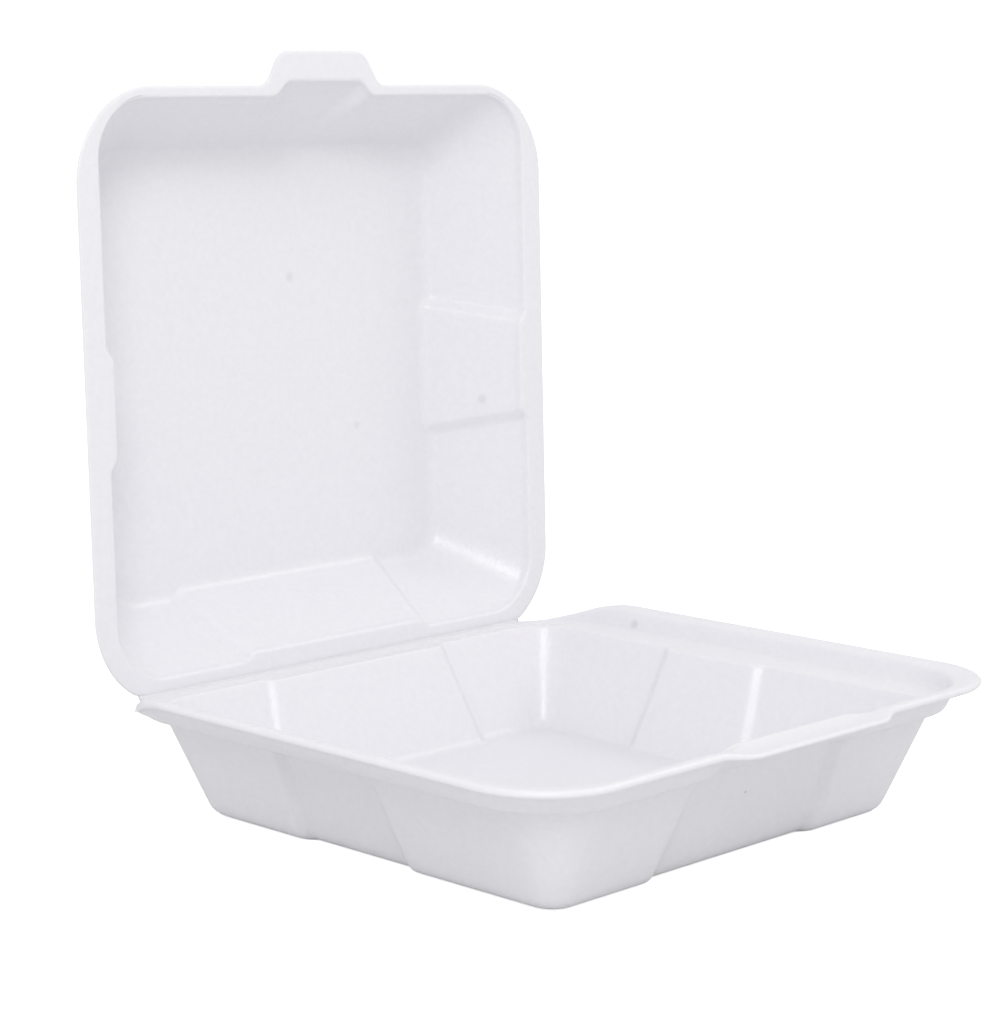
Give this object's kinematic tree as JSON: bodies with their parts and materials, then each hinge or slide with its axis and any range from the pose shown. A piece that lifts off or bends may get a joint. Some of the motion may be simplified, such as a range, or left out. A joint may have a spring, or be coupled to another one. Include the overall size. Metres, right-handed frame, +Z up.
{
  "type": "foam clamshell container",
  "caption": "Hinged foam takeaway container: a square drafted tray with a raised rim lip and a deep lid with a lifting tab, standing open.",
  "frame": {"origin": "centre of the tray's underside, on the floor", "axes": "+Z up, +Y from the front edge towards the hinge, X along the hinge"},
  "size_m": [0.2416, 0.2634, 0.2619],
  "materials": {
    "foam": "satin white expanded polystyrene sheet"
  },
  "bodies": {
    "tray": {"base_tray": "foam"},
    "cover": {"lid": "foam"}
  },
  "joints": [
    {"name": "lid_hinge", "type": "hinge", "parent": "tray", "child": "cover", "pos_m": [0, 0.105, 0.0393], "axis": [-1, 0, 0], "range_deg": [-91.7, 88.3]}
  ]
}
